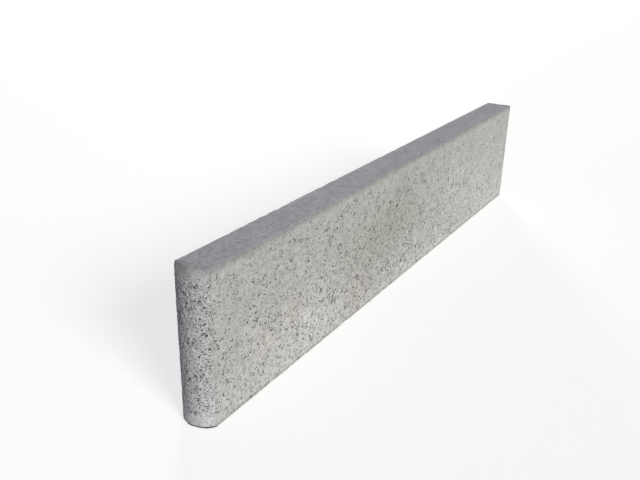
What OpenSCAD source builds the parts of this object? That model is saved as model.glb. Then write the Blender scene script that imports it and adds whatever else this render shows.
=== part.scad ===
// Concrete edging kerb stone, cast in one piece and standing on its narrow underside.
// One end is a round nose over the whole thickness, bevelled at its top, and the other is a hollow
// that takes such a nose, so that stones laid in a row lock together and can follow a gentle curve.
// X runs from the nose to the hollow end, Y from the front face to the back face, Z up.
// The origin is on the underside, halfway along the stone and halfway through it.

/* [Stone] */
// Overall length, from the tip of the nose to the rim of the hollow
overall_length = 1000; // [500:5:1200]
// Height as it stands
stone_height = 200; // [120:5:300]
// Thickness between the two long faces
stone_thickness = 50; // [40:1:80]
// Leg of the small chamfer along both long top edges
top_chamfer = 1.5; // [0.5:0.5:8]

/* [Nose] */
// How far the nose stands out beyond the ends of the long faces
nose_projection = 14; // [8:0.5:18]
// How far the bevel sets the top of the nose back from its tip
nose_setback = 9.5; // [4:0.5:14]
// Height of the bevel at the tip of the nose
nose_bevel_height = 16; // [8:1:40]
// Radius of the bevel across the thickness, flatter than the nose itself
nose_bevel_radius = 70; // [60:1:200]

/* [Hollow end] */
// Flat rim on each side of the hollow
hollow_rim = 2.5; // [2:0.5:8]
// Room all round the nose of the next stone when it is seated in the hollow
hollow_clearance = 1.5; // [0.5:0.5:6]

/* [Hidden] */
$fn = 96;

// Distance by which a cutter runs past the surface that it cuts
overrun = 10;

tip_x = -overall_length / 2;
rim_x = overall_length / 2;
half_thickness = stone_thickness / 2;

// The nose is an arc through its tip and through the ends of both long faces.
nose_radius = (pow(half_thickness, 2) + pow(nose_projection, 2)) / (2 * nose_projection);
nose_centre_x = tip_x + nose_radius;

// The bevel is part of a cylinder that leans from the tip of the nose towards the top face.
nose_bevel_lean = atan(nose_setback / nose_bevel_height);
nose_bevel_length = 4 * stone_height;

// The hollow takes the nose of the next stone, bevel and all, between its two rims.
hollow_radius = nose_radius + hollow_clearance;
hollow_half_width = half_thickness - hollow_rim;
hollow_centre_x = rim_x + sqrt(pow(hollow_radius, 2) - pow(hollow_half_width, 2));
seated_tip_x = hollow_centre_x - nose_radius;

// The stone seen from above, without its hollow.
module plan_outline() {
    intersection() {
        translate([tip_x - overrun, -half_thickness])
            square([overall_length + overrun, stone_thickness]);
        rounded_length();
    }
}

// A wide strip whose end is the arc of the nose.
module rounded_length() {
    translate([nose_centre_x, 0])
        circle(r = nose_radius);
    translate([nose_centre_x, -half_thickness - overrun])
        square([rim_x - nose_centre_x + overrun, stone_thickness + 2 * overrun]);
}

// What the chamfer takes off the front top edge: a long bar with a triangular section.
module edge_chamfer() {
    translate([tip_x - overrun, -half_thickness, stone_height])
        rotate([90, 0, 90])
            linear_extrude(overall_length + 2 * overrun)
                polygon([
                    [-overrun, -top_chamfer - overrun],
                    [-overrun, overrun],
                    [top_chamfer + overrun, overrun]
                ]);
}

// What the bevel takes off the top of a nose with its tip at nose_x: all outside the leaning cylinder.
module nose_bevel(nose_x, clearance = 0) {
    cut_height = nose_bevel_height + 2 * overrun;
    difference() {
        translate([nose_x - overrun, -half_thickness - overrun, stone_height - nose_bevel_height - overrun])
            cube([overrun + nose_bevel_radius, stone_thickness + 2 * overrun, cut_height]);
        translate([nose_x, 0, stone_height - nose_bevel_height])
            rotate([0, nose_bevel_lean, 0])
                translate([nose_bevel_radius, 0, -nose_bevel_length / 2])
                    cylinder(r = nose_bevel_radius + clearance, h = nose_bevel_length);
    }
}

// The room for the nose of the next stone.
module hollow() {
    difference() {
        translate([hollow_centre_x, 0, -overrun])
            cylinder(r = hollow_radius, h = stone_height + 2 * overrun);
        nose_bevel(seated_tip_x, hollow_clearance);
    }
}

module kerb_stone() {
    color([0.62, 0.62, 0.60])
        difference() {
            linear_extrude(stone_height)
                plan_outline();
            edge_chamfer();
            mirror([0, 1, 0])
                edge_chamfer();
            nose_bevel(tip_x);
            hollow();
        }
}

kerb_stone();
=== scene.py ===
"""The looks of the concrete kerb stone: its pitted surface, the floor, the light and the camera.

The stone is one closed mesh in place of the plain solid. Its sides are laid out flat, once round the stone,
and its top and underside are laid out as seen from above. Each layout gets loose points, and a ragged ring of
points for every pit. The points are joined into triangles and then folded onto the shape of the solid.
Lengths are in millimetres until the mesh is made.
"""
import math
import random
from typing import NamedTuple

import bpy
import numpy as np
from mathutils import Matrix, Vector, noise
from mathutils.geometry import delaunay_2d_cdt


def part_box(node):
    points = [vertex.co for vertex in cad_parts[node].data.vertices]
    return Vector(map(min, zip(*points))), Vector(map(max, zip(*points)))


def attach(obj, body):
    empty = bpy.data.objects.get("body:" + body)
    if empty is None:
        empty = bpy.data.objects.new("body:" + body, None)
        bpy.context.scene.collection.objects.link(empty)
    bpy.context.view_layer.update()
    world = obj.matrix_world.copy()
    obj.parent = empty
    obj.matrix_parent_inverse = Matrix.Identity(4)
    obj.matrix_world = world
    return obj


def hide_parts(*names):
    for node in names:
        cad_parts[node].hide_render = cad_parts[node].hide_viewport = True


class Wave(NamedTuple):
    """A layer of smooth noise: the size of its features, its place in the noise, and its strength."""

    size: float
    layer: float
    strength: float


class Surface(NamedTuple):
    """How one surface of the stone is pitted."""

    pits: int
    # Usual half width of a pit, and how long and how deep pits get for their half width
    size: float
    longest: float
    depth: float
    # 0 where pits gather in loose groups, 1 where they are spread evenly
    evenness: float
    # How much rarer pits and pores are at the top of the surface than at its bottom
    thinning: float
    # Heights of the smooth bands at top and bottom
    top_band: float
    low_band: float
    # Spacing of the loose points
    step: float
    # How open the texture of the concrete is between the pits
    openness: float


class Fineness(NamedTuple):
    """How finely pits below a half width are modelled, and how far out the points of their floors lie."""

    below: float
    rim_points: int
    floor_points: int
    floor_reach: float


class Patch(NamedTuple):
    """A soft patch of the front face: its place along the stone, its height, and its half sizes."""

    x: float
    z: float
    half_length: float
    half_height: float


class Line(NamedTuple):
    """A line of painted shade along an edge: its height, half of what it fades over, and the light that it
    keeps.
    """

    height: float
    fade: float
    shade: float


class Tone(NamedTuple):
    """A noise of the material: the size and detail of its features, and the range that it is spread over."""

    size: float
    detail: float
    low: float
    high: float


MM = 0.001
SEED = 17

# Sizes of the solid that its box doesn't give
NOSE_PROJECTION = 14.0
NOSE_SETBACK = 9.5
NOSE_BEVEL_HEIGHT = 16.0
NOSE_BEVEL_RADIUS = 70.0
HOLLOW_RIM = 2.5
HOLLOW_CLEARANCE = 1.5
# A little more than the depth of the hollow
HOLLOW_REACH = 12.0

# Worn edges: how far they are broken along the long faces, at the ends and at the bottom, and how that varies
TOP_ARRIS = 1.5
END_ARRIS = 0.6
LOW_ARRIS = 0.7
ARRIS_LIMITS = (0.4, 2.6)
ARRIS_WAVES = (Wave(7.0, 1.0, 0.52), Wave(2.4, 2.0, 0.48))
# Chips start where their noise passes the first limit, and are full at the second
CHIPS = Wave(9.0, 3.0, 2.0)
CHIP_LIMITS = (0.25, 0.6)
# The top edge wavers, and lies a little lower than the top
TOP_RIM = Wave(3.0, 9.0, 0.25)
TOP_RIM_DROP = 0.2

# Spacing of the points along the edges and down the corners
EDGE_STEP = 2.6
CORNER_STEP = 3.4

# Room that loose points and pits keep from the edges, and loose points from pits
EDGE_GAP = 3.5
CORNER_GAP = 0.7
PIT_GAP = 0.7

# Triangles over the whole hull of the points or only inside a loop, and what counts as the same point
WHOLE_HULL = 0
INSIDE_LOOP = 1
SAME_POINT = 1e-6

# Uneven casting: long and short waves of the sides, and their grain, which is stronger on the nose
SWELL = Wave(70.0, 4.0, 0.35)
RIPPLE = Wave(13.0, 5.0, 0.16)
GRAIN = Wave(3.6, 6.0, 0.16)
NOSE_GRAIN = 0.75
NOSE_GRAIN_FADE = 3.0
# Waves of the top and the underside, and how far the top may stand out
CAP_WAVES = (Wave(22.0, 12.0, 0.12), Wave(3.0, 13.0, 0.084))
TOP_LIMIT = 0.12
# How a wave's layer shifts its noise along X, Y and Z
LAYER_SHIFT = (1.0, 2.7, -1.3)

# Pits: how much their lie varies, how ragged their rims are, how uneven their floors are, how finely they
# are modelled, and how much a point on the rim belongs to its pit
LIE_SPREAD = 0.7
RAGGED_RADIUS = (0.65, 1.1)
RAGGED_TURN = 0.3
FLOOR_DEPTH = (0.75, 1.1)
PIT_FINENESS = (
    Fineness(below=1.2, rim_points=6, floor_points=1, floor_reach=0.15),
    Fineness(below=2.0, rim_points=8, floor_points=2, floor_reach=0.45),
    Fineness(below=math.inf, rim_points=10, floor_points=3, floor_reach=0.45),
)
RIM_PIT = 0.12

# Loose groups that pits gather in, wide and close ones, with the usual and the least chance of a pit
PIT_GROUPS = (Wave(38.0, 3.0, 0.60), Wave(9.0, 8.0, 0.75))
USUAL_CHANCE = 0.40
LEAST_CHANCE = 0.05
# Half of what the pits fade over at the edge of a smooth band
PIT_FADE = 4.0

LONG_FACE = Surface(
    pits=4000, size=0.67, longest=3.2, depth=1.2, evenness=0.0, thinning=0.68,
    top_band=14.0, low_band=6.0, step=5.2, openness=0.74,
)
ROUND_END = Surface(
    pits=1250, size=0.56, longest=3.6, depth=1.4, evenness=0.6, thinning=0.0,
    top_band=15.0, low_band=17.0, step=2.7, openness=0.8,
)
FLAT_TOP = Surface(
    pits=160, size=0.5, longest=3.0, depth=0.6, evenness=0.3, thinning=0.0,
    top_band=0.0, low_band=0.0, step=4.2, openness=0.1,
)
SURFACES = {
    "front": LONG_FACE,
    "back": LONG_FACE._replace(pits=3700),
    "nose": ROUND_END,
    "hollow": ROUND_END._replace(pits=500, step=3.4),
    "top": FLAT_TOP,
    "underside": FLAT_TOP._replace(pits=300, size=0.95, evenness=0.0, step=9.0, openness=0.5),
}

# Patches of the front face where the concrete is more open or closer than round them, and the share of pits
# and pores that is added or left out
OPEN_PATCH = Patch(110.0, 35.0, 310.0, 60.0)
OPEN_GAIN = 1.3
CLOSE_PATCH = Patch(-410.0, 50.0, 150.0, 90.0)
CLOSE_SHARE = 0.45

# Where along the front face pits and pores become rarer towards the far end, and by how much
THIN_STRETCH = (180.0, 380.0)
THIN_SHARE = 0.32

# Colours of the concrete, as linear reflectance
FACE_COLOUR = (0.553, 0.556, 0.545)
NOSE_COLOUR = (0.540, 0.543, 0.556)
# The top is darker than the faces, and its blue tint is painted sky light
TOP_COLOUR_AND_SKY_TINT = (0.351, 0.356, 0.393)
# The strip under the top edge is darkened with painted shade
STRIP_SHADE_COLOUR = (0.350, 0.352, 0.355)
# The nose's smooth band is darkened with painted shade
NOSE_BAND_SHADED_COLOUR = (0.440, 0.444, 0.455)

# Half of what the colour of the nose fades over where the long faces start
NOSE_FADE = 1.0

# Painted shade towards the back of the nose: how much darker its smooth band is there, how much more open,
# and so darker, its texture is there, partly as painted shade, and where across the stone each of them sets
# in and is full
NOSE_BAND_PAINTED_SHADE = 0.36
NOSE_BAND_STRETCH = (-14.0, 14.0)
NOSE_OPEN_AND_SHADE_GAIN = 0.6
NOSE_OPEN_STRETCH = (-10.0, 14.0)

# Strip under the top edge of the long faces, darkened with painted shade: its height, half of what it fades
# over, and the share of it that the nose lacks
STRIP_HEIGHT = 6.5
STRIP_FADE = 3.0
STRIP_LOSS = 0.85

# Smooth bands: how far inside their height they end, half of what they fade over, and the share of the
# nose's low band that the long faces have too
BAND_INSET = 1.0
BAND_FADE = 3.0
LOW_BAND_SHARE = 0.4

# How much less open the concrete is in the strip and in the smooth bands
STRIP_CALM = 0.75
BAND_CALM = 0.8

# Painted shade along the top edge, painted contact shadow along the bottom edges, and dark joints between the
# nose and the long faces
TOP_EDGE_SHADE = Line(2.6, 1.0, 0.88)
BOTTOM_CONTACT_SHADOW = Line(4.5, 2.5, 0.75)
NOSE_CONTACT_SHADOW = Line(2.4, 0.6, 0.12)
JOINT_LINE_WIDTH = 1.0
JOINT_LINE_DEPTH = 1.0
JOINT_LINE_SHADE = 0.78

# Painted light from the floor: how much lighter the bottom of the sides is than their middle, and their top
# darker
LOW_BOUNCE_LIGHT = 0.14

# Faint stains on the front face, and how they change its colour
STAINS = (
    (Patch(-388.0, 65.0, 16.0, 16.0), (1.05, 0.99, 0.97)),
    (Patch(-326.0, 81.0, 17.0, 17.0), (1.04, 0.98, 0.96)),
    (Patch(-155.0, 37.0, 22.0, 22.0), (1.04, 0.98, 0.96)),
    (Patch(-70.0, 108.0, 175.0, 60.0), (0.797, 0.806, 0.768)),
    (Patch(-334.0, 34.0, 45.0, 45.0), (1.06, 1.06, 1.07)),
    (Patch(-410.0, 50.0, 200.0, 110.0), (0.935, 0.935, 0.945)),
    (Patch(-255.0, 48.0, 75.0, 45.0), (1.10, 1.10, 1.09)),
    (Patch(215.0, 118.0, 75.0, 45.0), (1.09, 1.09, 1.09)),
    (Patch(360.0, 55.0, 150.0, 70.0), (1.03, 1.03, 1.05)),
)

# Tones of the concrete: large clouds, smaller mottle and blotches, sand, patches of open texture, roughness
CLOUDS = Tone(110.0, 3.0, 0.95, 1.05)
MOTTLE = Tone(14.0, 4.0, 0.93, 1.07)
BLOTCHES = Tone(6.5, 2.0, 0.89, 1.11)
SAND = Tone(2.1, 3.0, -1.0, 1.0)
OPEN_PATCHES = Tone(10.0, 2.0, 0.3, 1.7)
ROUGHNESS = Tone(7.5, 4.0, 0.80, 0.98)
SPECULAR = 0.3
# The range that a noise of the material mostly keeps to
NOISE_RANGE = (0.3, 0.7)

# How strongly sand shows in closed texture, and how much more in open texture
SAND_LEAST = 0.4
SAND_GAIN = 0.35

# Size, detail and distortion of the noises that make light specks, fine pores, and lumps with coarse pores
SPECK_NOISE = (2.4, 1.0, 0.4)
FINE_PORE_NOISE = (2.6, 2.0, 0.7)
LUMP_NOISE = (5.0, 3.0, 1.0)
# Specks lie above a limit of their noise, and pores below one that rises from closed to open texture
SPECK_LIMIT = 0.62
SPECK_SHARPNESS = 14.0
FINE_PORE_LIMITS = (0.32, 0.42)
COARSE_PORE_LIMITS = (0.28, 0.385)
PORE_SHARPNESS = 18.0
# How much a point must belong to a pit for the full painted shade of pits
PIT_FULL = 0.5

# How much darker or, below zero, lighter the parts of the texture are; the darkening of pits is painted shade
SAND_SHADE = -0.34
SPECK_SHADE = -0.15
PORE_SHADE = 0.70
PIT_PAINTED_SHADE = 0.83

# Bump: how high sand and lumps stand when a pore is 1 deep, how strong the bump is, and its depth
SAND_RELIEF = 0.4
LUMP_RELIEF = 0.9
BUMP_STRENGTH = 0.8
BUMP_DEPTH = 0.9

# Edges of the mesh that bend by more than this many degrees look sharp
SHARP_ANGLE = 40.0

# Camera of the photograph: its place in metres, its angles in degrees, with the heading turned from +X
# towards +Y, and its lens and sensor
CAMERA_PLACE = (-1.0182, -0.4815, 0.5301)
CAMERA_HEADING = 31.215
CAMERA_PITCH = -22.9
CAMERA_ROLL = 1.267
CAMERA_LENS = 41.012
CAMERA_SENSOR = 36.0

# Light: the key comes from the front, a little from the nose's side, and a weaker fill from behind the far
# end; spreads are in degrees
KEY_FROM = (-0.29, -0.67, 0.37)
KEY_STRENGTH = 2.78
KEY_SPREAD = 24.0
KEY_COLOUR = (1.0, 0.955, 0.87)
FILL_FROM = (0.80, 0.58, 0.09)
FILL_STRENGTH = 2.6
FILL_SPREAD = 14.0
FILL_COLOUR = (1.0, 0.98, 0.95)
SKY_COLOUR = (0.90, 0.95, 1.06)
SKY_STRENGTH = 0.25
BACKDROP_COLOUR = (0.982, 0.98, 0.974)

# Floor, with its size in metres
FLOOR_SIZE = 40.0
FLOOR_COLOUR = (0.50, 0.50, 0.50)
FLOOR_ROUGHNESS = 0.9
FLOOR_GLOW = 0.60
GLOW_COLOUR = (1.0, 1.0, 1.0)


class Outline:
    """The stone's sides as walked once round it, from the front corner of the nose along the front face."""

    def __init__(self, low, high):
        self.tip_x = low.x / MM
        self.rim_x = high.x / MM
        self.half = (high.y - low.y) / 2 / MM
        self.height = high.z / MM
        self.root_x = self.tip_x + NOSE_PROJECTION
        self.nose_radius = (self.half ** 2 + NOSE_PROJECTION ** 2) / (2 * NOSE_PROJECTION)
        self.nose_angle = math.asin(self.half / self.nose_radius)
        self.bevel_lean = math.atan2(NOSE_SETBACK, NOSE_BEVEL_HEIGHT)
        self.hollow_radius = self.nose_radius + HOLLOW_CLEARANCE
        self.hollow_angle = math.asin((self.half - HOLLOW_RIM) / self.hollow_radius)
        self.hollow_x = self.rim_x + self.hollow_radius * math.cos(self.hollow_angle)
        self.seated_tip_x = self.hollow_x - self.nose_radius
        face = self.rim_x - self.root_x
        lengths = {
            "front": face,
            "front_rim": HOLLOW_RIM,
            "hollow": 2 * self.hollow_radius * self.hollow_angle,
            "back_rim": HOLLOW_RIM,
            "back": face,
            "nose": 2 * self.nose_radius * self.nose_angle,
        }
        self.names = list(lengths)
        self.corners = np.concatenate([[0.0], np.cumsum(list(lengths.values()))])
        self.length = self.corners[-1]

    def stretch(self, name):
        """Where a side starts and ends along the walk."""
        number = self.names.index(name)
        return self.corners[number], self.corners[number + 1]

    def stops(self, step):
        """Places along the walk about a step apart, with all corners among them and the start only once."""
        runs = []
        for start, end in zip(self.corners[:-1], self.corners[1:]):
            count = max(1, round((end - start) / step))
            runs.append(np.linspace(start, end, count, endpoint=False))
        return np.concatenate(runs)

    def at(self, along):
        """Points seen from above and their outward normals, at an array of places along the walk."""
        side = np.clip(np.searchsorted(self.corners, along, side="right") - 1, 0, len(self.names) - 1)
        run = along - self.corners[side]
        hollow_turn = run / self.hollow_radius - self.hollow_angle
        nose_turn = self.nose_angle - run / self.nose_radius
        nose_x = self.tip_x + self.nose_radius
        zero = np.zeros_like(run)
        one = np.ones_like(run)
        x = np.choose(side, [
            self.root_x + run, zero + self.rim_x, self.hollow_x - self.hollow_radius * np.cos(hollow_turn),
            zero + self.rim_x, self.rim_x - run, nose_x - self.nose_radius * np.cos(nose_turn),
        ])
        y = np.choose(side, [
            zero - self.half, run - self.half, self.hollow_radius * np.sin(hollow_turn),
            self.half - HOLLOW_RIM + run, zero + self.half, self.nose_radius * np.sin(nose_turn),
        ])
        normal_x = np.choose(side, [zero, one, np.cos(hollow_turn), one, zero, -np.cos(nose_turn)])
        normal_y = np.choose(side, [-one, zero, -np.sin(hollow_turn), zero, one, np.sin(nose_turn)])
        return x, y, normal_x, normal_y

    def bevel(self, y, z, tip_x, clearance=0.0):
        """Where along X the bevel of a nose with its tip at tip_x starts, and its outward normals."""
        reach = NOSE_BEVEL_RADIUS + clearance
        turn = np.arcsin(np.clip(y / reach, -1, 1))
        lean = self.bevel_lean
        rise = z - (self.height - NOSE_BEVEL_HEIGHT)
        x = tip_x + rise * math.tan(lean) + (NOSE_BEVEL_RADIUS - reach * np.cos(turn)) / math.cos(lean)
        normals = [-np.cos(turn) * math.cos(lean), np.sin(turn), np.cos(turn) * math.sin(lean)]
        return x, np.stack(normals, axis=-1)

    def fold(self, along, z):
        """Points of the sides and their outward normals, with both bevels: the nose's and the hollow's."""
        x, y, normal_x, normal_y = self.at(along)
        normals = np.stack([normal_x, normal_y, np.zeros_like(z)], axis=1)
        start, end = self.stretch("hollow")
        nose_x, nose_normals = self.bevel(y, z, self.tip_x)
        lip_x, lip_normals = self.bevel(y, z, self.seated_tip_x, HOLLOW_CLEARANCE)
        on_nose = nose_x > x
        on_lip = (start < along) & (along < end) & (lip_x > x)
        normals[on_nose] = nose_normals[on_nose]
        normals[on_lip] = -lip_normals[on_lip]
        x = np.where(on_nose, nose_x, x)
        x = np.where(on_lip, np.minimum(lip_x, self.rim_x), x)
        return np.stack([x, y, z], axis=1), normals

    def ends(self, y, z):
        """Where along X the stone starts and ends at a place across it and a height."""
        nose_x = self.tip_x + self.nose_radius - np.sqrt(np.maximum(0.0, self.nose_radius ** 2 - y ** 2))
        hollow_x = self.hollow_x - np.sqrt(np.maximum(0.0, self.hollow_radius ** 2 - y ** 2))
        lip_x = self.bevel(y, z, self.seated_tip_x, HOLLOW_CLEARANCE)[0]
        start = np.maximum(nose_x, self.bevel(y, z, self.tip_x)[0])
        return start, np.minimum(self.rim_x, np.maximum(hollow_x, lip_x))

    def holds(self, x, y, z, gap):
        """Whether a point lies inside, with a gap to the sides and the far end and twice that to the nose."""
        start, end = self.ends(y, z)
        return abs(y) < self.half - gap and start + 2 * gap < x < end - gap


class Zone(NamedTuple):
    """A box in a flattened surface."""

    left: float
    right: float
    low: float
    high: float

    def holds(self, across, up, room=0.0):
        """Whether a place lies inside, with some room round it."""
        inside_across = self.left + room < across < self.right - room
        return inside_across and self.low + room < up < self.high - room


class Pit(NamedTuple):
    """A pit in a flattened surface: its place, half width, length for its width, and depth."""

    across: float
    up: float
    size: float
    stretch: float
    depth: float

    def ragged_ring(self, lie, count, reach, rng):
        """Places round the pit at a share of its size, stretched along its lie."""
        turn_start = rng.uniform(0, math.tau)
        for i in range(count):
            turn = turn_start + math.tau * (i + rng.uniform(-RAGGED_TURN, RAGGED_TURN)) / count
            radius = self.size * reach * rng.uniform(*RAGGED_RADIUS)
            long = math.cos(turn) * radius * self.stretch
            wide = math.sin(turn) * radius
            yield (
                self.across + long * math.cos(lie) - wide * math.sin(lie),
                self.up + long * math.sin(lie) + wide * math.cos(lie),
            )


class PitField:
    """Pits thrown at random into a flattened surface so that none touches another."""

    CELL = 12.0
    SIZE_SPREAD = 0.47
    SIZE_LIMITS = (0.6, 2.5)
    DEPTH_SPREAD = (0.7, 1.3)
    TRIES = 40

    def __init__(self):
        self.cells = {}
        self.pits = []

    def cell(self, across, up):
        """The cell that a place lies in."""
        return int(across // self.CELL), int(up // self.CELL)

    def reaches(self, across, up, gap):
        """Whether a point comes closer than gap to the rim of a pit."""
        column, row = self.cell(across, up)
        for i in range(column - 1, column + 2):
            for j in range(row - 1, row + 2):
                for a, b, reach in self.cells.get((i, j), ()):
                    if math.hypot(a - across, b - up) < reach + gap:
                        return True
        return False

    def throw(self, zone, surface, chance, rng):
        """Adds a surface's pits inside a zone, where a chance from 0 to 1 lets them stay."""
        wanted = len(self.pits) + surface.pits
        for _ in range(surface.pits * self.TRIES):
            if len(self.pits) == wanted:
                return
            across = rng.uniform(zone.left, zone.right)
            up = rng.uniform(zone.low, zone.high)
            share = rng.lognormvariate(0.0, self.SIZE_SPREAD)
            size = surface.size * min(self.SIZE_LIMITS[1], max(self.SIZE_LIMITS[0], share))
            stretch = rng.uniform(1.0, surface.longest)
            reach = size * (1 + stretch) / 2
            inside = zone.holds(across, up, size * stretch * RAGGED_RADIUS[1])
            if not inside or rng.random() > chance(across, up) or self.reaches(across, up, reach):
                continue
            depth = size * surface.depth * rng.uniform(*self.DEPTH_SPREAD)
            self.pits.append(Pit(across, up, size, stretch, depth))
            self.cells.setdefault(self.cell(across, up), []).append((across, up, reach))


class Layout:
    """Points of a flattened surface, each with how deep it is sunk and how much it belongs to a pit."""

    LOOSENESS = (0.1, 0.9)

    def __init__(self):
        self.rows = []

    def add(self, across, up, sunk=0.0, pit=0.0):
        """Adds a point and returns its number."""
        self.rows.append((across, up, sunk, pit))
        return len(self.rows) - 1

    def add_pits(self, field, rng):
        """Gives each pit of a field a ragged rim and a few points on its floor."""
        for pit in field.pits:
            lie = rng.gauss(0.0, LIE_SPREAD)
            fineness = next(each for each in PIT_FINENESS if pit.size < each.below)
            for across, up in pit.ragged_ring(lie, fineness.rim_points, 1.0, rng):
                self.add(across, up, pit=RIM_PIT)
            for across, up in pit.ragged_ring(lie, fineness.floor_points, fineness.floor_reach, rng):
                self.add(across, up, pit.depth * rng.uniform(*FLOOR_DEPTH), 1.0)

    def add_loose(self, zone, step, field, fits, rng):
        """Fills a zone with points about a step apart that fit and keep clear of a field's pits."""
        for i in range(int((zone.right - zone.left) / step) + 1):
            for j in range(int((zone.high - zone.low) / step) + 1):
                across = zone.left + (i + rng.uniform(*self.LOOSENESS)) * step
                up = zone.low + (j + rng.uniform(*self.LOOSENESS)) * step
                if fits(across, up) and not field.reaches(across, up, PIT_GAP):
                    self.add(across, up)

    def columns(self):
        """Across, up, sunk and pit as four arrays."""
        return np.array(self.rows).T


class Edge(NamedTuple):
    """The points along the top or bottom edge of the sides, and how far the edge is broken at each."""

    points: list
    broken: np.ndarray


class Cap(NamedTuple):
    """The top or the underside: its height, 1 if it faces up or -1, and how far it may stand out."""

    name: str
    z: float
    facing: int
    limit: float


class Shares(NamedTuple):
    """How much each point belongs to the parts of the stone that have looks of their own, from 0 to 1."""

    top: np.ndarray
    side: np.ndarray
    nose: np.ndarray
    strip: np.ndarray
    shaded_nose_band: np.ndarray
    low_band: np.ndarray


def smooth_step(low, high, value):
    """0 at low, 1 at high, a smooth rise between them, and no change beyond them."""
    share = np.clip((value - low) / (high - low), 0.0, 1.0)
    return share * share * (3 - 2 * share)


def under(limit, fade, value):
    """1 below a limit and 0 above it, with a smooth fall over fade on both sides of it."""
    return smooth_step(limit + fade, limit - fade, value)


def mix(first, second, share):
    """Blends rows of colour, or single numbers, towards a second one."""
    if np.ndim(first) == 2:
        share = share[:, None]
    return first + share * (np.asarray(second) - first)


def bell(x, z, patch):
    """1 at the middle of a patch, falling smoothly to 0 all round it."""
    return np.exp(-((x - patch.x) / patch.half_length) ** 2 - ((z - patch.z) / patch.half_height) ** 2)


def noise_at(points, wave):
    """Smooth noise from about -1 to 1 at points, with the features of a wave."""
    shift = Vector([wave.layer * share for share in LAYER_SHIFT])
    return np.array([noise.noise(Vector(p) / wave.size + shift) for p in points])


def waves_at(points, *waves):
    """The sum of waves at points."""
    return sum(wave.strength * noise_at(points, wave) for wave in waves)


def clustered(across, up, evenness):
    """A chance from about 0 to 1 that gathers pits in loose groups, or spreads them evenly."""
    chance = USUAL_CHANCE
    for group in PIT_GROUPS:
        chance += group.strength * noise.noise(Vector((across / group.size, up / group.size, group.layer)))
    grouped = min(1.0, max(LEAST_CHANCE, chance))
    return grouped + evenness * (1 - grouped)


def front_gain(x, z):
    """How many pits and pores the front face has at a place for each one that a plain face would have."""
    open_gain = 1 + OPEN_GAIN * bell(x, z, OPEN_PATCH)
    close_share = 1 - CLOSE_SHARE * bell(x, z, CLOSE_PATCH)
    return open_gain * close_share * (1 - THIN_SHARE * smooth_step(*THIN_STRETCH, x))


def side_chance(name, outline):
    """The chance that a pit stays at a place on an upright side: next to none in its smooth bands."""
    surface = SURFACES[name]
    height = outline.height

    def chance(across, up):
        under_top = smooth_step(surface.top_band - PIT_FADE, surface.top_band + PIT_FADE, height - up)
        over_low = smooth_step(surface.low_band - PIT_FADE, surface.low_band + PIT_FADE, up)
        thinned = 1 - surface.thinning * up / height
        if name == "front":
            thinned *= front_gain(outline.root_x + across, up) / (1 + OPEN_GAIN)
        return under_top * over_low * thinned * clustered(across, up, surface.evenness)

    return chance


def top_arris(outline, along):
    """How far the top edge is broken at places along the walk: more along the long faces than at the ends."""
    broken = np.full(len(along), END_ARRIS)
    for name in ("front", "back"):
        start, end = outline.stretch(name)
        broken[(start <= along) & (along <= end)] = TOP_ARRIS
    return broken


def broken_edge(outline, along, arris, z):
    """How far an edge at height z is broken along the walk: unevenly, and with a few small chips."""
    x, y, _, _ = outline.at(along)
    places = np.stack([x, y, np.full_like(x, z)], axis=1)
    chips = CHIPS.strength * smooth_step(*CHIP_LIMITS, noise_at(places, CHIPS))
    return np.clip(arris + waves_at(places, *ARRIS_WAVES) + chips, *ARRIS_LIMITS)


def lay_out_edges(layout, outline):
    """Adds rows of points along the top and bottom edges and down the corners, and returns both edges."""
    height = outline.height
    stops = outline.stops(EDGE_STEP)
    top = Edge([], broken_edge(outline, stops, top_arris(outline, stops), height))
    underside = Edge([], broken_edge(outline, stops, LOW_ARRIS, 0.0))
    for stop, top_broken, low_broken in zip(stops, top.broken, underside.broken):
        top.points.append(layout.add(stop, height))
        underside.points.append(layout.add(stop, 0.0))
        layout.add(stop, height - top_broken)
        layout.add(stop, low_broken)
        # Rows where the painted contact shadow along the nose's bottom edge ends, so that it stays sharp
        layout.add(stop, NOSE_CONTACT_SHADOW.height - NOSE_CONTACT_SHADOW.fade)
        layout.add(stop, NOSE_CONTACT_SHADOW.height + NOSE_CONTACT_SHADOW.fade)
    for corner in outline.corners[:-1]:
        for z in np.arange(EDGE_GAP, height - EDGE_GAP, CORNER_STEP):
            layout.add(corner, z)
    return {"top": top, "underside": underside}


def lay_out_sides(outline, rng):
    """The layout of the upright sides, and their top and bottom edges."""
    layout = Layout()
    field = PitField()
    height = outline.height
    edges = lay_out_edges(layout, outline)
    zones = {}
    for name in outline.names:
        if name in SURFACES:
            start, end = outline.stretch(name)
            zones[name] = Zone(start + CORNER_GAP, end - CORNER_GAP, EDGE_GAP, height - EDGE_GAP)
    for name, zone in zones.items():
        field.throw(zone, SURFACES[name], side_chance(name, outline), rng)
    layout.add_pits(field, rng)
    for name, zone in zones.items():
        whole_side = Zone(*outline.stretch(name), 0.0, height)
        layout.add_loose(whole_side, SURFACES[name].step, field, zone.holds, rng)
    return layout, edges


def triangulate(places, loop=()):
    """Triangles between flat points, as point numbers; inside a loop of points where one is given."""
    flat = [Vector((float(a), float(b))) for a, b in places]
    faces = [list(loop)] if len(loop) else []
    found = delaunay_2d_cdt(flat, [], faces, INSIDE_LOOP if faces else WHOLE_HULL, SAME_POINT)
    source = [first[0] for first in found[3]]
    return np.array([[source[i] for i in face] for face in found[2]])


def side_triangles(layout, outline):
    """Triangles of the sides, joined where the walk round the stone comes back to its start."""
    across, up, _, _ = layout.columns()
    at_start = np.flatnonzero(across == 0.0)
    repeated = np.stack([np.full(len(at_start), outline.length), up[at_start]], axis=1)
    places = np.concatenate([np.stack([across, up], axis=1), repeated])
    number = np.concatenate([np.arange(len(across)), at_start])
    return number[triangulate(places)]


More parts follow.
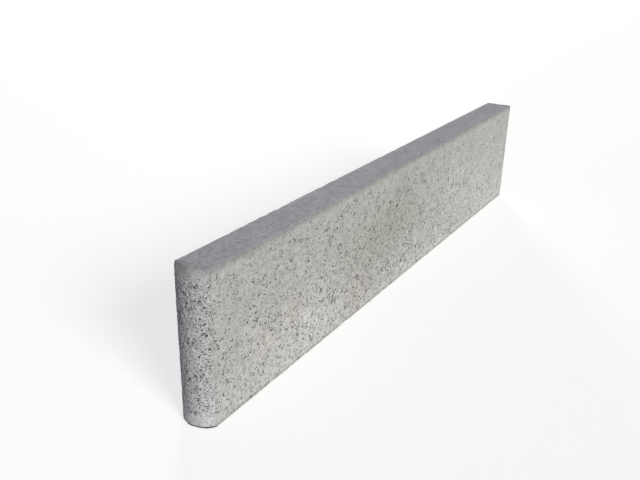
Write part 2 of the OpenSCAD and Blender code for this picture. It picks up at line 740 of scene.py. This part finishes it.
def worn_sides(layout, edges, outline):
    """The side points, folded round the stone, roughened, sunk into pits and broken at the edges."""
    across, up, sunk, _ = layout.columns()
    points, normals = outline.fold(across, up)
    on_nose = smooth_step(0.0, NOSE_GRAIN_FADE, across - outline.stretch("nose")[0])
    grain = mix(GRAIN.strength, NOSE_GRAIN, on_nose)
    raised = waves_at(points, SWELL, RIPPLE) + grain * noise_at(points, GRAIN)
    points += normals * (raised - sunk)[:, None]
    for edge in edges.values():
        points[edge.points] -= normals[edge.points] * edge.broken[:, None] * (1, 1, 0)
    rim = edges["top"].points
    points[rim, 2] = outline.height + waves_at(points[rim], TOP_RIM) - TOP_RIM_DROP
    points[edges["underside"].points, 2] = 0.0
    return points


def fill_cap(cap, outline, ring_points, rng):
    """Inner points of a cap, how much they belong to pits, and triangles over its ring and its inside."""
    surface = SURFACES[cap.name]
    field = PitField()
    layout = Layout()
    half = outline.half

    def fits(x, y):
        return outline.holds(x, y, cap.z, EDGE_GAP)

    def chance(x, y):
        return clustered(x, y, surface.evenness)

    pitted = Zone(outline.root_x, outline.rim_x - NOSE_PROJECTION, EDGE_GAP - half, half - EDGE_GAP)
    field.throw(pitted, surface, chance, rng)
    layout.add_pits(field, rng)
    whole_cap = Zone(outline.tip_x, outline.rim_x, -half, half)
    layout.add_loose(whole_cap, surface.step, field, fits, rng)
    x, y, sunk, pit = layout.columns()
    points = np.stack([x, y, np.full_like(x, cap.z)], axis=1)
    raised = np.minimum(waves_at(points, *CAP_WAVES), cap.limit)
    points[:, 2] += cap.facing * (raised - sunk)
    faces = triangulate(np.concatenate([ring_points[:, :2], points[:, :2]]), range(len(ring_points)))
    return points, pit, faces[:, ::cap.facing]


def build_stone(outline):
    """Points, triangles, how much each point belongs to a pit, and whether it is a side's or a cap's."""
    rng = random.Random(SEED)
    layout, edges = lay_out_sides(outline, rng)
    sides = worn_sides(layout, edges, outline)
    points = [sides]
    triangles = [side_triangles(layout, outline)]
    pits = [layout.columns()[3]]
    owners = [np.full(len(sides), "side")]
    owners[0][edges["top"].points] = "top"
    count = len(sides)
    for cap in (Cap("top", outline.height, 1, TOP_LIMIT), Cap("underside", 0.0, -1, 0.0)):
        ring = edges[cap.name].points
        inner, inner_pits, faces = fill_cap(cap, outline, sides[ring], rng)
        number = np.concatenate([ring, count + np.arange(len(inner))])
        points.append(inner)
        triangles.append(number[faces])
        pits.append(inner_pits)
        owners.append(np.full(len(inner), cap.name))
        count += len(inner)
    return [np.concatenate(runs) for runs in (points, triangles, pits, owners)]


def find_shares(points, owners, outline):
    """How much each point belongs to the parts of the stone."""
    x, _, z = points.T
    below = outline.height - z
    surface = SURFACES["nose"]
    nose = under(outline.root_x, NOSE_FADE, x)
    return Shares(
        top=(owners == "top").astype(float),
        side=(owners == "side").astype(float),
        nose=nose,
        strip=under(STRIP_HEIGHT, STRIP_FADE, below) * (1 - STRIP_LOSS * nose),
        shaded_nose_band=under(surface.top_band - BAND_INSET, BAND_FADE, below) * nose,
        low_band=under(surface.low_band - BAND_INSET, BAND_FADE, z) * mix(LOW_BAND_SHARE, 1.0, nose),
    )


def shade_and_joint_lines(points, shares, outline):
    """The share of the light left at each point by the painted shade and contact shadows along the edges, and
    by the dark joints.
    """
    x, y, z = points.T
    shade = np.ones(len(points))
    for line, share, distance in (
        (TOP_EDGE_SHADE, shares.side, outline.height - z),
        (BOTTOM_CONTACT_SHADOW, shares.side * (1 - shares.nose), z),
        (NOSE_CONTACT_SHADOW, shares.side * shares.nose, z),
    ):
        shade *= 1 - (1 - line.shade) * share * under(line.height, line.fade, distance)
    at_joint = np.exp(-((x - outline.root_x) / JOINT_LINE_WIDTH) ** 2)
    at_joint *= np.abs(y) > outline.half - JOINT_LINE_DEPTH
    return shade * (1 - (1 - JOINT_LINE_SHADE) * at_joint)


def colour_with_painted_light(points, shares, outline):
    """Colour of the concrete at each point before its grain, with painted light from the floor, painted shade
    and contact shadows.
    """
    x, y, z = points.T
    colour = np.tile(FACE_COLOUR, (len(points), 1))
    for patch, change in STAINS:
        near = bell(x, z, patch) * (y < 0)
        colour *= 1 + near[:, None] * (np.array(change) - 1)
    colour = mix(colour, NOSE_COLOUR, shares.nose)
    # Painted bounce light from the floor: lighter low on the sides, darker high up
    colour *= 1 + LOW_BOUNCE_LIGHT * (1 - 2 * z / outline.height)[:, None]
    # The nose's smooth band, darkened with painted shade
    colour = mix(colour, NOSE_BAND_SHADED_COLOUR, shares.shaded_nose_band)
    # Painted shade: the nose's smooth band darkens towards the back
    colour *= 1 - NOSE_BAND_PAINTED_SHADE * (shares.shaded_nose_band * smooth_step(*NOSE_BAND_STRETCH, y))[:, None]
    # Painted shade in the strip under the top edge
    colour = mix(colour, STRIP_SHADE_COLOUR, shares.strip)
    # The top's colour, with painted sky light in its blue tint
    colour = mix(colour, TOP_COLOUR_AND_SKY_TINT, shares.top)
    return colour * shade_and_joint_lines(points, shares, outline)[:, None]


def concrete_openness(points, owners, shares, outline):
    """How open the texture of the concrete is at each point."""
    x, y, z = points.T
    face = SURFACES["front"]
    openness = face.openness * (1 + face.thinning * (0.5 - z / outline.height))
    openness *= np.where(y < 0, np.sqrt(front_gain(x, z)), 1.0)
    in_hollow = (x > outline.rim_x - HOLLOW_REACH) & (np.abs(y) < outline.half - HOLLOW_RIM)
    openness[in_hollow] = SURFACES["hollow"].openness
    openness[owners == "underside"] = SURFACES["underside"].openness
    # More open, darker texture towards the back of the nose: partly its texture, partly painted shade
    nose_pores_and_shade = 1 + NOSE_OPEN_AND_SHADE_GAIN * smooth_step(*NOSE_OPEN_STRETCH, y)
    openness = mix(openness, SURFACES["nose"].openness * nose_pores_and_shade, shares.nose)
    calm_bands = BAND_CALM * np.maximum(shares.shaded_nose_band, shares.low_band)
    openness *= 1 - np.maximum(STRIP_CALM * shares.strip, calm_bands)
    return mix(openness, SURFACES["top"].openness, shares.top)


def add_attribute(mesh, name, kind, field, values):
    """Stores a value for each point of a mesh, for its material to read."""
    attribute = mesh.attributes.new(name, kind, "POINT")
    attribute.data.foreach_set(field, np.ascontiguousarray(values, np.float32).ravel())


def stone_mesh(outline):
    """The mesh of the stone, in metres, with what its material reads."""
    points, triangles, pits, owners = build_stone(outline)
    shares = find_shares(points, owners, outline)
    colour = colour_with_painted_light(points, shares, outline)
    opaque = np.ones((len(points), 1))
    mesh = bpy.data.meshes.new("cast_concrete_stone")
    mesh.from_pydata((points * MM).tolist(), [], triangles.tolist())
    # The colour carries painted light and shade, and the material darkens the pit share as painted shade
    add_attribute(mesh, "cast_colour", "FLOAT_COLOR", "color", np.concatenate([colour, opaque], axis=1))
    add_attribute(mesh, "pit", "FLOAT", "value", pits)
    add_attribute(mesh, "openness", "FLOAT", "value", concrete_openness(points, owners, shares, outline))
    mesh.shade_smooth()
    mesh.set_sharp_from_angle(angle=math.radians(SHARP_ANGLE))
    return mesh


class Nodes:
    """Adds nodes to a material's tree and joins them up."""

    def __init__(self, material):
        material.use_nodes = True
        self.tree = material.node_tree
        self.shader = self.tree.nodes["Principled BSDF"]

    def add(self, kind, settings=None, **inputs):
        """A new node; an input is named, and is a number or the socket that feeds it."""
        node = self.tree.nodes.new(kind)
        for name, value in (settings or {}).items():
            setattr(node, name, value)
        for name, value in inputs.items():
            self.feed(node.inputs[name.replace("_", " ")], value)
        return node

    def feed(self, socket, value):
        """Sets a socket to a number, or joins another socket to it."""
        if isinstance(value, bpy.types.NodeSocket):
            self.tree.links.new(value, socket)
        else:
            socket.default_value = value

    def math(self, operation, first, second, clamp=False):
        """One step of arithmetic."""
        node = self.add("ShaderNodeMath", {"operation": operation, "use_clamp": clamp})
        self.feed(node.inputs[0], first)
        self.feed(node.inputs[1], second)
        return node.outputs[0]

    def spread(self, value, start, end, low, high):
        """A value's range from start to end, stretched to run from low to high."""
        ranges = {"From_Min": start, "From_Max": end, "To_Min": low, "To_Max": high}
        return self.add("ShaderNodeMapRange", Value=value, **ranges).outputs["Result"]

    def noise(self, place, size, detail, distortion=0.0):
        """Noise around 0.5 with features of a size in millimetres."""
        looks = {"Scale": 1 / (size * MM), "Detail": detail, "Distortion": distortion}
        return self.add("ShaderNodeTexNoise", Vector=place, **looks).outputs["Fac"]

    def tone(self, place, tone):
        """The noise of a tone, spread over its range."""
        return self.spread(self.noise(place, tone.size, tone.detail), *NOISE_RANGE, tone.low, tone.high)

    def pores(self, noise, openness, limits):
        """1 where noise falls below a limit that rises with the openness of the texture, and 0 elsewhere."""
        limit = self.spread(openness, 0.0, 1.0, *limits)
        return self.math("MULTIPLY", self.math("SUBTRACT", limit, noise), PORE_SHARPNESS, clamp=True)

    def darkened(self, shade, share, amount):
        """A shade made darker by an amount where share is 1."""
        return self.math("MULTIPLY", shade, self.math("SUBTRACT", 1.0, self.math("MULTIPLY", share, amount)))

    def attribute(self, name, output):
        """What the mesh stores for each of its points."""
        return self.add("ShaderNodeAttribute", {"attribute_name": name}).outputs[output]


def concrete_sand(nodes, place, openness):
    """Sand: light and dark grains, stronger in open texture."""
    strength = nodes.math("ADD", nodes.math("MULTIPLY", openness, SAND_GAIN), SAND_LEAST)
    return nodes.math("MULTIPLY", nodes.tone(place, SAND), strength)


def concrete_specks(nodes, place, openness):
    """Light specks, stronger in open texture."""
    height = nodes.math("SUBTRACT", nodes.noise(place, *SPECK_NOISE), SPECK_LIMIT)
    specks = nodes.math("MULTIPLY", height, SPECK_SHARPNESS, clamp=True)
    return nodes.math("MULTIPLY", specks, openness, clamp=True)


def concrete_shade(nodes, place, sand, specks, pores):
    """How light the concrete is for its colour, with painted shade in the pits."""
    shade = nodes.math("MULTIPLY", nodes.tone(place, CLOUDS), nodes.tone(place, MOTTLE))
    shade = nodes.math("MULTIPLY", shade, nodes.tone(place, BLOTCHES))
    # Painted shade in the pits
    pits = nodes.spread(nodes.attribute("pit", "Fac"), RIM_PIT, PIT_FULL, 0.0, 1.0)
    for share, amount in (
        (sand, SAND_SHADE),
        (specks, SPECK_SHADE),
        (pores, PORE_SHADE),
        (pits, PIT_PAINTED_SHADE),
    ):
        shade = nodes.darkened(shade, share, amount)
    return shade


def concrete_bump(nodes, sand, pores, lumps, openness):
    """Normals of the fine relief: sand and lumps stand out, and pores are sunk."""
    relief = nodes.math("SUBTRACT", nodes.math("MULTIPLY", sand, SAND_RELIEF), pores)
    open_lumps = nodes.math("MULTIPLY", lumps, openness)
    relief = nodes.math("ADD", relief, nodes.math("MULTIPLY", open_lumps, LUMP_RELIEF))
    bump = nodes.add("ShaderNodeBump", Strength=BUMP_STRENGTH, Distance=BUMP_DEPTH * MM, Height=relief)
    return bump.outputs["Normal"]


def concrete_material():
    """Rough grey concrete: cloudy, sandy, with light specks, open dark pores and pits darkened with painted
    shade.
    """
    material = bpy.data.materials.new("pitted_concrete")
    nodes = Nodes(material)
    place = nodes.add("ShaderNodeTexCoord").outputs["Object"]
    openness = nodes.math("MULTIPLY", nodes.attribute("openness", "Fac"), nodes.tone(place, OPEN_PATCHES))
    sand = concrete_sand(nodes, place, openness)
    specks = concrete_specks(nodes, place, openness)
    lumps = nodes.noise(place, *LUMP_NOISE)
    fine_pores = nodes.pores(nodes.noise(place, *FINE_PORE_NOISE), openness, FINE_PORE_LIMITS)
    coarse_pores = nodes.pores(lumps, openness, COARSE_PORE_LIMITS)
    pores = nodes.math("MAXIMUM", fine_pores, coarse_pores)

    shade = concrete_shade(nodes, place, sand, specks, pores)
    colour = nodes.add("ShaderNodeVectorMath", {"operation": "SCALE"}, Scale=shade)
    nodes.feed(colour.inputs[0], nodes.attribute("cast_colour", "Color"))
    nodes.feed(nodes.shader.inputs["Base Color"], colour.outputs[0])
    nodes.feed(nodes.shader.inputs["Roughness"], nodes.tone(place, ROUGHNESS))
    nodes.shader.inputs["Specular IOR Level"].default_value = SPECULAR
    nodes.feed(nodes.shader.inputs["Normal"], concrete_bump(nodes, sand, pores, lumps, openness))
    return material


def place_stone(low, high):
    """Builds the stone in place of the plain solid."""
    mesh = stone_mesh(Outline(low, high))
    mesh.materials.append(concrete_material())
    stone = bpy.data.objects.new("cast_concrete_stone", mesh)
    bpy.context.scene.collection.objects.link(stone)
    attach(stone, "root")
    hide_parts("kerb_stone")


def floor_material():
    """A pale floor that glows, so that the shadow on it stays faint."""
    material = bpy.data.materials.new("pale_floor")
    shader = Nodes(material).shader
    shader.inputs["Base Color"].default_value = (*FLOOR_COLOUR, 1.0)
    shader.inputs["Roughness"].default_value = FLOOR_ROUGHNESS
    shader.inputs["Emission Color"].default_value = (*GLOW_COLOUR, 1.0)
    shader.inputs["Emission Strength"].default_value = FLOOR_GLOW
    return material


def place_floor():
    """A wide floor under the stone, which throws no diffuse light back on it."""
    mesh = bpy.data.meshes.new("floor")
    edge = FLOOR_SIZE / 2
    corners = [(-edge, -edge, 0), (edge, -edge, 0), (edge, edge, 0), (-edge, edge, 0)]
    mesh.from_pydata(corners, [], [(0, 1, 2, 3)])
    mesh.materials.append(floor_material())
    floor = bpy.data.objects.new("floor", mesh)
    floor.visible_diffuse = False
    bpy.context.scene.collection.objects.link(floor)


def place_lamp(name, origin, strength, spread, colour):
    """A far lamp that shines from the direction of origin, with a soft edge to its shadows."""
    light = bpy.data.lights.new(name, "SUN")
    light.energy = strength
    light.angle = math.radians(spread)
    light.color = colour
    lamp = bpy.data.objects.new(name, light)
    lamp.rotation_euler = Vector(origin).to_track_quat("Z", "Y").to_euler()
    bpy.context.scene.collection.objects.link(lamp)


def place_sky():
    """An even, slightly blue light from all round, with a pale backdrop where it is looked at."""
    world = bpy.data.worlds.new("sky")
    world.use_nodes = True
    nodes = world.node_tree.nodes
    links = world.node_tree.links
    sky = nodes["Background"]
    sky.inputs["Color"].default_value = (*SKY_COLOUR, 1.0)
    sky.inputs["Strength"].default_value = SKY_STRENGTH
    backdrop = nodes.new("ShaderNodeBackground")
    backdrop.inputs["Color"].default_value = (*BACKDROP_COLOUR, 1.0)
    choice = nodes.new("ShaderNodeMixShader")
    links.new(nodes.new("ShaderNodeLightPath").outputs["Is Camera Ray"], choice.inputs["Fac"])
    links.new(sky.outputs[0], choice.inputs[1])
    links.new(backdrop.outputs[0], choice.inputs[2])
    links.new(choice.outputs[0], nodes["World Output"].inputs["Surface"])
    bpy.context.scene.world = world
    bpy.context.scene.view_settings.view_transform = "Standard"


def place_camera():
    """The camera of the photograph."""
    lens = bpy.data.cameras.new("camera")
    lens.lens = CAMERA_LENS
    lens.sensor_width = CAMERA_SENSOR
    camera = bpy.data.objects.new("camera", lens)
    heading = Matrix.Rotation(math.radians(CAMERA_HEADING - 90), 4, "Z")
    pitch = Matrix.Rotation(math.radians(CAMERA_PITCH + 90), 4, "X")
    roll = Matrix.Rotation(math.radians(CAMERA_ROLL), 4, "Z")
    camera.matrix_world = Matrix.Translation(CAMERA_PLACE) @ heading @ pitch @ roll
    bpy.context.scene.collection.objects.link(camera)
    bpy.context.scene.camera = camera


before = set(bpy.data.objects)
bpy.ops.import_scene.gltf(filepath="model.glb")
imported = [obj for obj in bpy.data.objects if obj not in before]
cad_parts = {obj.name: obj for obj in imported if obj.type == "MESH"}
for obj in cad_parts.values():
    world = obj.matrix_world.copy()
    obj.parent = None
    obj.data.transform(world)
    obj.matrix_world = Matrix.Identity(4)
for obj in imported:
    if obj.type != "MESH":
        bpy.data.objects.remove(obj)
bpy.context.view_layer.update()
place_stone(*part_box("kerb_stone"))
place_floor()
place_lamp("key", KEY_FROM, KEY_STRENGTH, KEY_SPREAD, KEY_COLOUR)
place_lamp("fill", FILL_FROM, FILL_STRENGTH, FILL_SPREAD, FILL_COLOUR)
place_sky()
place_camera()
